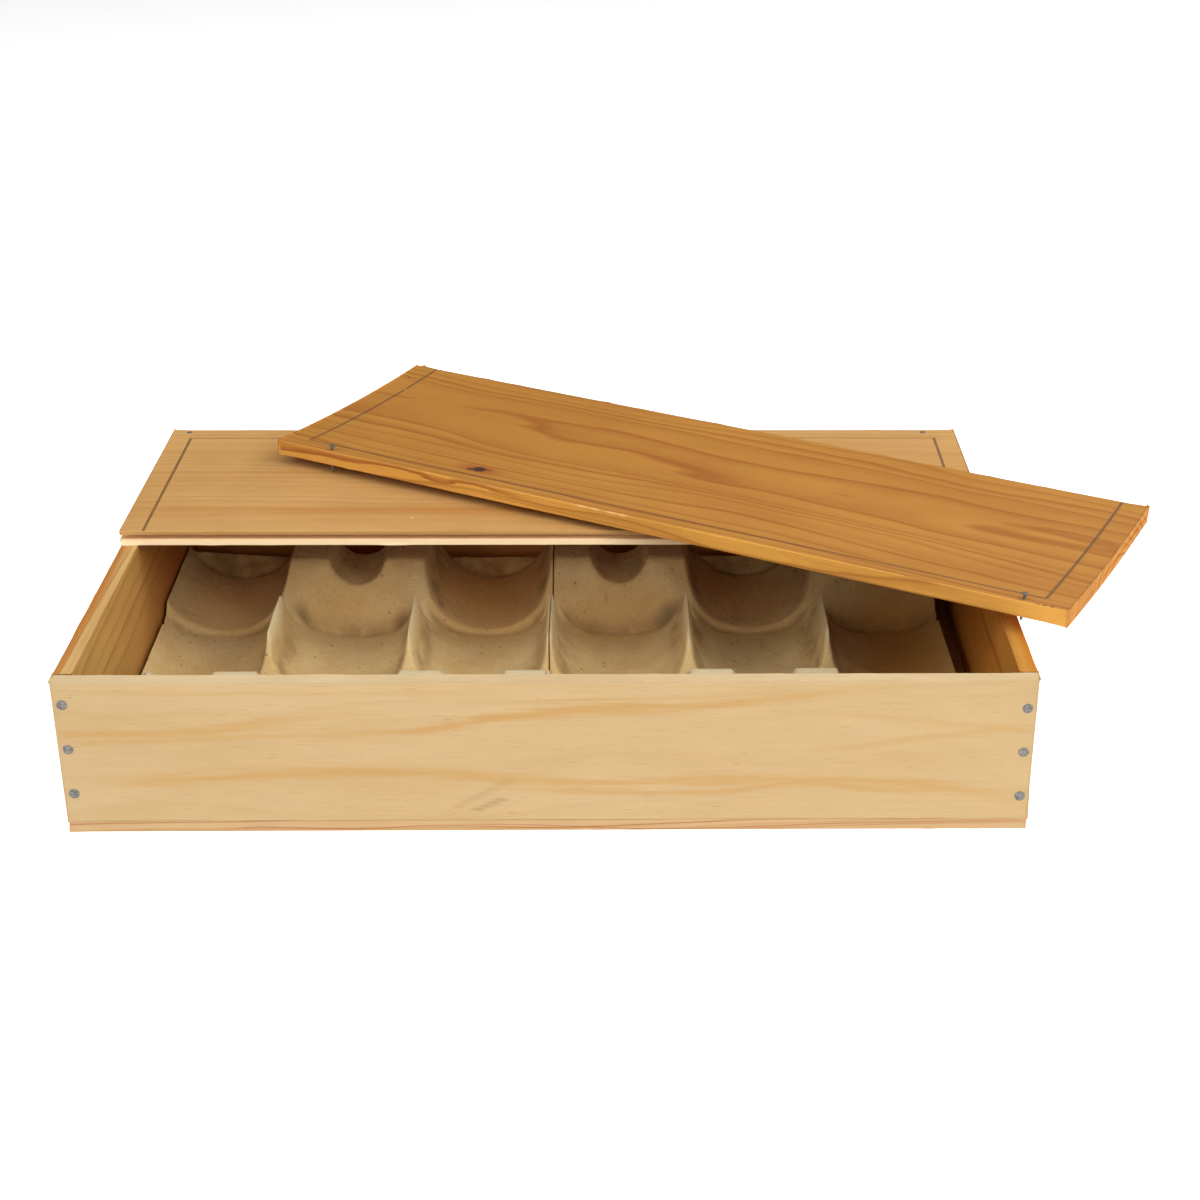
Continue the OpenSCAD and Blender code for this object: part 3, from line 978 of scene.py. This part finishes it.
@dataclass
class NailRow:
    """Nails of one CAD node, each placed by its head and the way its point looks."""

    node: str
    kind: Nail
    places: list[Matrix]
    finish: GalvanisedSteel
    seed: int
    sides: int = 28

    def build(self) -> bpy.types.Object:
        """Makes all the row's nails as one piece."""
        verts: list[np.ndarray] = []
        faces: list[tuple[int, ...]] = []
        angles = np.linspace(0, 2 * math.pi, self.sides, endpoint=False)
        profile = self.kind.profile()
        for number, place in enumerate(self.places):
            start = sum(len(v) for v in verts)
            out = 1 + 0.045 * value_noise(np.c_[np.cos(angles), np.sin(angles)] * 1.3 + 7 * number, self.seed)
            local = [np.array([[0, 0, profile[0][1]]])]
            for index, (radius, z) in enumerate(profile[1:-1]):
                wobble = out if index < 7 else np.ones_like(out)
                ring = np.c_[radius * wobble * np.cos(angles), radius * wobble * np.sin(angles)]
                local.append(np.c_[ring, np.full(self.sides, z)])
            local.append(np.array([[0, 0, profile[-1][1]]]))
            m = np.array(place)
            verts.append(np.vstack(local) @ m[:3, :3].T + m[:3, 3])
            rings = len(profile) - 2
            for k in range(self.sides):
                n = (k + 1) % self.sides
                faces.append((start, start + 1 + k, start + 1 + n))
                for row in range(rings - 1):
                    a, b = start + 1 + row * self.sides, start + 1 + (row + 1) * self.sides
                    faces.append((a + k, b + k, b + n, a + n))
                low = start + 1 + (rings - 1) * self.sides
                faces.append((low + k, low + self.sides, low + n))
        obj = make_object(self.node + "_steel", np.vstack(verts), faces, Matrix.Identity(4))
        obj.data.materials.append(self.finish.build())
        obj.data.polygons.foreach_set("use_smooth", [True] * len(obj.data.polygons))
        obj.data.set_sharp_from_angle(angle=math.radians(50))
        settle(obj, self.node)
        return obj


# Each names its colours of sides, top, ends, inner side and late wood, then ring width, pith, tilt, wobble,
# contrast and seed. The inner side's colour is painted light: the warmer, brighter tone of the crate's shaded inside
FRONT_PINE = Pine(
    "planed_pine_front", "#ad9369", "#c9b189", "#ad9062", "#b5813f", "#9f7d47", 15.0, (70.0, -60.0), (2.0, 0.6), 24.0,
    0.2, 3.0, fibre=0.07, fleck=0.45,
)
REAR_PINE = Pine(
    "planed_pine_rear", "#ad9268", "#bd9f70", "#b98f58", "#d88a3a", "#a27f4b", 13.0, (64.0, -50.0), (1.4, 0.5), 20.0,
    0.3, 6.0, fibre=0.06,
)
LEFT_PINE = Pine(
    "planed_pine_left_end", "#b38b57", "#c8a468", "#a87838", "#bf9450", "#9a6224", 4.6, (60.0, 30.0), (0.8, 0.5), 6.0,
    0.7, 11.0, fibre=0.09,
)
RIGHT_PINE = Pine(
    "planed_pine_right_end", "#b38b57", "#bb8836", "#a87838", "#d28f38", "#9a5412", 5.2, (55.0, 35.0), (1.0, 0.4), 8.0,
    0.85, 14.0, fibre=0.08,
)
BOTTOM_PINE = Pine(
    "sawn_pine_bottom", "#b1936a", "#b1936a", "#b98d56", "#b88c56", "#94682f", 3.4, (-20.0, -90.0), (0.4, 0.6), 7.0,
    0.7, 5.0, fibre=0.07,
)
LID_PINE = Pine(
    "planed_pine_lid", "#c0955a", "#c2955a", "#a0753f", "#c07830", "#a5702e", 5.2, (-60.0, -120.0), (0.3, 0.5), 10.0,
    0.55, 8.0, fibre=0.06,
)
PRISED_PINE = Pine(
    "aged_pine_prised", "#d2983f", "#b07a30", "#b4771a", "#b86c20", "#8e4e14", 7.0, (20.0, -46.0), (1.2, 0.8), 15.0,
    0.92, 21.0, fibre=0.09,
)


# Growth bands of the front board, from the long dark ones near its middle to the faint ones
BAND, LONG_BAND = "#a57c3f", "#a3793a"
FRONT_BANDS = (
    Streak(((-252, 51), (-173, 53), (-129, 59), (-80, 61)), 6.0, 5.0, BAND, 0.6, (0.05, 0.5)),
    Streak(((-250, 46), (-190, 48), (-140, 50), (-60, 49)), 1.4, 2.4, BAND, 0.4, (0.1, 0.5)),
    Streak(
        ((-140, 51), (-53, 55), (-27, 61), (12, 65), (76, 67), (114, 71), (200, 81)),
        4.5, 5.5, LONG_BAND, 0.7, (0.25, 0.4),
    ),
    Streak(((-60, 66), (-10, 70), (60, 72), (140, 76)), 1.2, 2.2, LONG_BAND, 0.35, (0.3, 0.4)),
    Streak(
        ((-252, 21), (-183, 25), (-54, 28), (-18, 24), (24, 22), (102, 24), (168, 22), (250, 12)),
        6.0, 4.4, BAND, 0.62, (0.15, 0.1),
    ),
    Streak(((-40, 21), (24, 17), (90, 17), (128, 21), (170, 18), (230, 14)), 2.4, 3.0, "#a37838", 0.5, (0.2, 0.3)),
    Streak(((110, 38), (160, 44), (205, 50), (250, 53)), 2.4, 4.0, BAND, 0.35, (0.4, 0.05)),
    Streak(((120, 66), (165, 61), (205, 56), (250, 54)), 2.4, 4.0, BAND, 0.3, (0.4, 0.05)),
    Streak(((-252, 77), (-120, 75), (40, 77)), 1.4, 3.0, BAND, 0.3, (0.1, 0.5)),
)
# Scuffed fibres low on the front board
SCUFFS = (
    *(Spot((-47 + 4.4 * i, -4.5, 8.5 + 2.5 * i), (6.5, 9.0, 2.6), "#94784f", 0.45, 1.0) for i in range(7)),
    *(Spot((-37 + 4.0 * i, -4.5, 6.5 + 1.9 * i), (6.0, 9.0, 1.8), "#806640", 0.55, 1.0) for i in range(4)),
)
# Rings cut along the near edge of the floor board
RESIN = "#8a4a14"
FLOOR_RINGS = (
    Streak(((-250, 4.6), (-200, 5.4), (-120, 6.2)), 0.5, 0.5, RESIN, 0.8, (0.02, 0.3)),
    Streak(
        ((-170, 1.0), (-150, 2.6), (-135, 2.1), (-95, 1.6), (-60, 3.4), (-30, 2.4), (10, 1.6), (50, 3.6), (110, 6.2)),
        0.45, 0.5, RESIN, 0.75, (0.05, 0.1),
    ),
    Streak(
        ((-60, 3.8), (-10, 3.4), (30, 1.4), (60, 0.8), (100, 1.8), (150, 3.6), (200, 4.6), (250, 5.4)),
        0.45, 0.5, RESIN, 0.7, (0.1, 0.02),
    ),
    Streak(((90, 1.0), (140, 1.8), (190, 3.4), (250, 4.0)), 0.4, 0.4, RESIN, 0.6, (0.1, 0.02)),
)
# Border lines of the nailed lid board, with the warm wood and the scratch by its front edge
LID_MARKS = (
    Line((-237.6, -235.8), (-200.0, 146.6)),
    Line((234.6, 236.4), (-200.0, 146.6)),
    Line((-236.7, 235.5), (145.8, 146.9), 0.7),
    Spot((-70.0, 31.0, 9.0), (330.0, 9.0, 3.0), "#a8671c", 0.5, 1.0),
    Spot((-84.8, 18.5, 9.0), (1.6, 0.7, 3.0), "#efcf9a", 0.7, 0.5),
)
# Pale fresh wood on the lid's lower lip; in its groove pale fresh wood together with painted light that brightens the
# groove's shade
LIP = Spot((0.0, 0.0, 1.7), (4000.0, 5.0, 3.1), "#fbe2b8", 0.95, 0.35)
GROOVE_FRESH_AND_LIT = Spot((0.0, 3.0, 4.9), (4000.0, 8.0, 2.2), "#e6c090", 0.9, 0.3)
# Bruised arris of the prised board
BRUISES = tuple(Spot((x, -78.2, 11.4), (6.0, 1.7, 1.5), "#e3b878", 0.7, 0.7) for x in (-38.0, -30.0, -19.0, -12.0))
# Border lines, knot and small holes in the upper side of the prised board
PRISED_MARKS = (
    Line((-235.4, -233.6), (-67.0, 37.8)),
    Line((-235.4, -233.6), (40.4, 90.0)),
    Line((233.6, 235.4), (-67.0, 90.0)),
    Line((-234.5, 234.5), (-67.8, -66.3), 0.85),
    Spot((-120.0, -56.6, 9.0), (22.0, 9.0, 30.0), "#8e3f16", 0.65, 0.9),
    Spot((-119.6, -56.6, 9.0), (5.6, 5.0, 30.0), "#38201a", 0.95, 0.5),
    Spot((-124.5, -59.0, 9.0), (3.4, 2.2, 30.0), "#38201a", 0.85, 0.6),
    Spot((-114.0, -54.6, 9.0), (3.0, 1.8, 30.0), "#4a2c1a", 0.7, 0.7),
    *(
        Spot((x, y, 9.0), (1.3, 1.1, 30.0), "#3c2413", 0.9, 0.5)
        for x, y in ((-243.9, 57.8), (232.9, -77.0), (236.6, -76.6), (240.5, -76.4))
    ),
    *BRUISES,
)
# Rings cut along the near edge of the prised board
PRISED_RINGS = (
    Streak(
        (
            (-250, 5.7), (-230, 7.4), (-197, 8.1), (-170, 9.8), (-150, 8.4), (-132, 7.1), (-121, 9.4), (-95, 8.6),
            (-52, 6.0),
        ),
        3.4, 0.9, "#8f4a10", 0.85, (0.01, 0.3),
    ),
    Streak(((-120, 5.4), (-40, 4.4), (60, 3.6), (160, 3.0), (250, 3.4)), 0.8, 0.6, "#9c5a1e", 0.5),
    *BRUISES,
)
# Wood of the end boards: painted shade on the inner side, darker towards the rear under the lid, and aged wood towards
# the outer arris of the top
LEFT_SHADE_AND_AGEING = {
    Face.INNER: (Spot((150.0, 0.0, 20.0), (250.0, 60.0, 110.0), "#9c4c08", 0.9, 1.0),),
    Face.TOP: (Spot((0.0, 4.6, 81.0), (420.0, 5.6, 5.0), "#a8651c", 0.9, 0.8),),
}
RIGHT_SHADE_AND_AGEING = {
    Face.INNER: (Spot((-120.0, 0.0, 20.0), (210.0, 60.0, 90.0), "#b0600c", 0.75, 1.0),),
    Face.TOP: (Spot((0.0, 4.6, 81.0), (420.0, 5.6, 5.0), "#b46a12", 0.9, 0.8),),
}


@dataclass
class Crate:
    """The whole crate, from its floor boards up to the prised lid board."""

    length: float = 500.0
    width: float = 330.0
    side_h: float = 81.0
    long_t: float = 9.0
    end_t: float = 9.5
    bottom_t: float = 6.5
    lid_t: float = 9.0
    bottom_joint: float = -12.0
    lid_joint: float = 4.0
    tongue_w: float = 6.0
    tongue_t: float = 2.5
    tongue_play: float = 0.15
    bottom_tongue_z: float = 1.9
    lid_tongue_drop: float = 2.6
    loose_w: float = 156.5
    loose_at: Point = (84.0, 60.0)
    loose_swing: float = 27.6
    loose_cup: float = 2.4
    loose_prop: float = 3.7
    loose_reach: float = 1.9
    loose_gap: float = 0.1
    prop_x: float = -211.5
    prised_x: Point = (-213.0, 224.0)
    prised_in: Point = (3.0, 4.0)
    prised_cut: Point = (2.4, 3.8)
    nail_lean: float = 3.0
    side_nail_in: float = 5.6
    left_drops: tuple[float, ...] = (12.5, 38.3, 64.3)
    right_drops: tuple[float, ...] = (15.9, 41.4, 67.5)
    side_nail: Nail = field(default_factory=lambda: Nail(5.8, 2.0, 0.8, 34.0))
    lid_nail: Nail = field(default_factory=lambda: Nail(3.6, 1.6, 0.8, 20.5))

    def joint(self, width: float, thick: float, tongue_low: float, tongue: bool) -> list[Point]:
        """Section of a board that ends at y = 0, apart from its tongue.

        Args:
            width: Width of the body.
            thick: Thickness of the board.
            tongue_low: Height of the tongue's underside.
            tongue: True for a tongue, on a body towards -Y, and false for a groove, in a body towards +Y.

        Returns:
            The outline, clockwise as seen from +X.
        """
        reach, size, play = self.tongue_w, self.tongue_t, self.tongue_play
        if tongue:
            edge = [(0.0, tongue_low + size), (reach, tongue_low + size), (reach, tongue_low), (0.0, tongue_low)]
        else:
            high, low = tongue_low + size + play, tongue_low - play
            edge = [(0.0, high), (-reach - play, high), (-reach - play, low), (0.0, low)]
        outline = [(-width, 0.0), (-width, thick), (0.0, thick), *edge, (0.0, 0.0)]
        return outline if tongue else [(-y, z) for y, z in reversed(outline)]

    def cup_radius(self) -> float:
        """Radius of the prised board's hollow underside."""
        return ((self.loose_w / 2) ** 2 + self.loose_cup**2) / (2 * self.loose_cup)

    def cupped(self) -> list[Point]:
        """Section of the prised board, hollow on top, with its tongue on the far edge."""
        half, steps, radius = self.loose_w / 2, 24, self.cup_radius()
        low = self.lid_t - self.lid_tongue_drop - self.tongue_t
        high, far = low + self.tongue_t, half + self.tongue_w

        def ring(level: float, y: float) -> Point:
            """Point above the underside's arc at a distance y from its lowest line."""
            angle = math.asin(y / radius)
            return ((radius - level) * math.sin(angle), radius - (radius - level) * math.cos(angle))

        across = np.linspace(-half, half, steps)
        top = [ring(self.lid_t, y) for y in across]
        under = [ring(0.0, y) for y in across[::-1]]
        return [*top, ring(high, half), ring(high, far), ring(low, far), ring(low, half), *under]

    def rest(self) -> tuple[float, float, float, float]:
        """Where the prised board rests on the lid's corner, in its own frame.

        Returns:
            X, Y and Z of the place, and the board's slope in degrees.
        """
        turn = math.radians(self.loose_swing)
        dx, dy = self.length / 2 - self.loose_at[0], self.loose_at[1] - self.lid_joint
        x = dx * math.cos(turn) + dy * math.sin(turn)
        y = dx * math.sin(turn) - dy * math.cos(turn)
        radius = self.cup_radius()
        z = radius - math.sqrt(radius**2 - y * y)
        slope = math.degrees(math.asin((self.loose_prop + z) / (x - self.prop_x)))
        return x, y, z, slope

    def boards(self) -> list[Board]:
        """All the boards."""
        l, w, t, s = self.length, self.width, self.long_t, self.side_h
        low, end_x, inner_w = self.bottom_t, (l - self.end_t) / 2, w - 2 * t
        x, y, z, slope = self.rest()
        lid_low = self.lid_t - self.lid_tongue_drop - self.tongue_t
        floor_at, floor_low = (0, self.bottom_joint, 0), self.bottom_tongue_z
        return [
            Board(
                "bottom_front_board", l, self.joint(w / 2 + self.bottom_joint, low, floor_low, True),
                floor_at, BOTTOM_PINE, inside=(0, 0, 1), seed=3, marks={Face.SIDE: FLOOR_RINGS},
            ),
            Board(
                "bottom_rear_board", l, self.joint(w / 2 - self.bottom_joint, low, floor_low, False),
                floor_at, BOTTOM_PINE, inside=(0, 0, 1), seed=4,
            ),
            Board(
                "front_board", l, plank(t, s), (0, (t - w) / 2, low), FRONT_PINE, inside=(0, 1, 0), seed=5,
                marks={Face.SIDE: (*FRONT_BANDS, *SCUFFS)},
            ),
            Board("rear_board", l, plank(t, s), (0, (w - t) / 2, low), REAR_PINE, inside=(0, -1, 0), seed=6),
            Board(
                "left_end_board", inner_w, plank(self.end_t, s), (-end_x, 0, low), LEFT_PINE,
                turn_deg=(0, 0, 90), inside=(0, -1, 0), seed=7, marks=LEFT_SHADE_AND_AGEING,
            ),
            Board(
                "right_end_board", inner_w, plank(self.end_t, s), (end_x, 0, low), RIGHT_PINE,
                turn_deg=(0, 0, -90), inside=(0, -1, 0), seed=8, marks=RIGHT_SHADE_AND_AGEING,
            ),
            Board(
                "lid_rear_board", l, self.joint(w / 2 - self.lid_joint, self.lid_t, lid_low, False),
                (0, self.lid_joint, low + s), LID_PINE, inside=(0, 0, -1), seed=9,
                marks={Face.TOP: (*LID_MARKS, GROOVE_FRESH_AND_LIT), Face.SIDE: (LIP, GROOVE_FRESH_AND_LIT), Face.INNER: (GROOVE_FRESH_AND_LIT,)},
            ),
            Board(
                "lid_loose_board", l, self.cupped(), (l / 2, self.lid_joint, low + s + self.lid_t + self.loose_gap),
                PRISED_PINE, turn_deg=(0, slope, -self.loose_swing), pivot=(x, y, z), arris=0.7, wear=0.6, corner=2.6,
                inside=(0, 0, -1), seed=10, marks={Face.TOP: PRISED_MARKS, Face.SIDE: PRISED_RINGS},
            ),
        ]

    def build(self) -> None:
        """Builds every piece in order."""
        made = {}
        for board in self.boards():
            board.build()
            made[board.node] = board
        for row in self.nails(made["lid_loose_board"].matrix()):
            row.build()
        pulp = MouldedPulp()
        PulpTray("pulp_tray_left", (-203.7, -5.7, self.bottom_t), 0.4, 31, pulp).build()
        PulpTray("pulp_tray_right", (194.4, -2.3, self.bottom_t), 180.4, 57, pulp).build()

    def nails(self, loose: Matrix) -> list[NailRow]:
        """All the rows of nails.

        Args:
            loose: Place of the prised board's frame.

        Returns:
            The rows.
        """
        zinc = GalvanisedSteel()
        top, nail_x, nail_y = self.bottom_t + self.side_h, self.length / 2 - self.side_nail_in, self.width / 2
        quarter_turn, half_turn = Matrix.Rotation(math.pi / 2, 4, "X"), Matrix.Rotation(math.pi, 4, "X")
        sides = [
            Matrix.Translation((side * nail_x, -nail_y, top - drop)) @ quarter_turn
            for side, drops in ((-1, self.left_drops), (1, self.right_drops))
            for drop in drops
        ]
        flip = Matrix.Scale(-1, 4, (0, 1, 0))
        board_y = (self.width - self.long_t) / 2
        spots = [(x, side * board_y) for x in (-205, -105, 0, 105, 205) for side in (-1, 1)]
        spots += [(side * nail_x, y) for y in (-80, 80) for side in (-1, 1)]
        floor = [Matrix.Translation((x, y, 0)) @ half_turn for x, y in spots]
        lid = [Matrix.Translation((x, board_y, top + self.lid_t)) for x in (-239.5, 229.5)]
        size, lean = self.lid_nail.length, Matrix.Rotation(math.radians(self.nail_lean), 4, "Y")
        prised = []
        reaches = (self.loose_prop, self.loose_reach)
        for x, inset, reach, cut in zip(self.prised_x, self.prised_in, reaches, self.prised_cut):
            tip = Matrix.Translation((x, inset - self.loose_w / 2, -reach))
            bent = Matrix.Scale(1 - cut / size, 4, (0, 0, 1))
            prised.append(loose @ tip @ lean @ Matrix.Translation((0, 0, size - cut)) @ bent)
        return [
            NailRow("front_nails", self.side_nail, sides, zinc, 3),
            NailRow("rear_nails", self.side_nail, [flip @ m @ Matrix.Scale(-1, 4, (1, 0, 0)) for m in sides], zinc, 4),
            NailRow("bottom_nails", self.side_nail, floor, zinc, 5),
            NailRow("lid_nails", self.lid_nail, lid, zinc, 6),
            NailRow("loose_nails", self.lid_nail, prised, zinc, 7),
        ]


@dataclass(frozen=True)
class SoftBox:
    """A square soft light, placed by its angle from the front towards the right and by its height angle."""

    name: str
    around_deg: float
    up_deg: float
    power: float
    size: float = 1.1


@dataclass
class Studio:
    """A white table inside a ring of soft boxes, stronger on the right, and the camera."""

    boxes: tuple[SoftBox, ...] = (
        SoftBox("front_left_light", -30, 22, 11.0),
        SoftBox("front_light", 10, 22, 7.0),
        SoftBox("front_right_light", 50, 22, 12.5),
        SoftBox("rear_right_light", 130, 22, 13.0),
        SoftBox("left_light", -70, 40, 15.0),
        SoftBox("high_front_light", 10, 45, 10.5),
        SoftBox("high_front_right_light", 50, 45, 11.0),
        SoftBox("high_right_light", 90, 45, 17.0),
        SoftBox("overhead_light", 10, 75, 13.0),
    )
    camera_mm: tuple[float, float, float] = (44.59, -1095.09, 578.6)
    camera_deg: tuple[float, float, float] = (63.172, -0.3375, -0.9379)
    lens: float = 62.62
    shift: Point = (-0.05922, 0.03774)
    light_aim: float = 0.05
    light_reach: float = 2.3
    table_half: float = 9.0

    def table(self) -> None:
        """Adds the table, white enough that the object's shadow on it stays faint."""
        mesh = bpy.data.meshes.new("studio_table")
        h = self.table_half
        mesh.from_pydata([(-h, -h, 0), (h, -h, 0), (h, h, 0), (-h, h, 0)], [], [(0, 1, 2, 3)])
        obj = bpy.data.objects.new("studio_table", mesh)
        bpy.context.scene.collection.objects.link(obj)
        material, tree, shader = new_material("white_table")
        feed(tree, shader, {"Base Color": (0.9, 0.9, 0.9, 1), "Roughness": 0.9})
        feed(tree, shader, {"Emission Color": (1, 1, 1, 1), "Emission Strength": 0.6})
        mesh.materials.append(material)

    def light(self, box: SoftBox) -> None:
        """Adds a soft box that faces the crate.

        Args:
            box: Its place and power.
        """
        data = bpy.data.lights.new(box.name, "AREA")
        data.shape = "RECTANGLE"
        data.size, data.size_y, data.energy = box.size, box.size, box.power
        around, up = math.radians(box.around_deg), math.radians(box.up_deg)
        way = Vector((math.cos(up) * math.sin(around), -math.cos(up) * math.cos(around), math.sin(up)))
        obj = bpy.data.objects.new(box.name, data)
        obj.location = Vector((0, 0, self.light_aim)) + way * self.light_reach
        obj.rotation_euler = way.to_track_quat("Z", "Y").to_euler()
        bpy.context.scene.collection.objects.link(obj)

    def build(self) -> None:
        """Adds the table, the lights, the white surroundings and the camera."""
        self.table()
        for box in self.boxes:
            self.light(box)
        world = bpy.data.worlds.new("white_surroundings")
        world.use_nodes = True
        tree = world.node_tree
        feed(tree, tree.nodes["Background"], {"Color": (1, 1, 1, 1), "Strength": 0.15})
        scene = bpy.context.scene
        scene.world = world
        scene.view_settings.view_transform = "Standard"
        data = bpy.data.cameras.new("camera")
        data.lens, data.sensor_width = self.lens, 36.0
        data.shift_x, data.shift_y = self.shift
        data.clip_start, data.clip_end = 0.05, 50.0
        camera = bpy.data.objects.new("camera", data)
        camera.location = Vector(self.camera_mm) / 1000
        camera.rotation_euler = Euler([math.radians(v) for v in self.camera_deg])
        scene.collection.objects.link(camera)
        scene.camera = camera


def main() -> None:
    """Builds the crate and the studio."""
    logging.basicConfig(level=logging.INFO, format="%(name)s: %(message)s")
    Crate().build()
    Studio().build()
    bpy.context.view_layer.update()


if __name__ == "__main__":
    main()
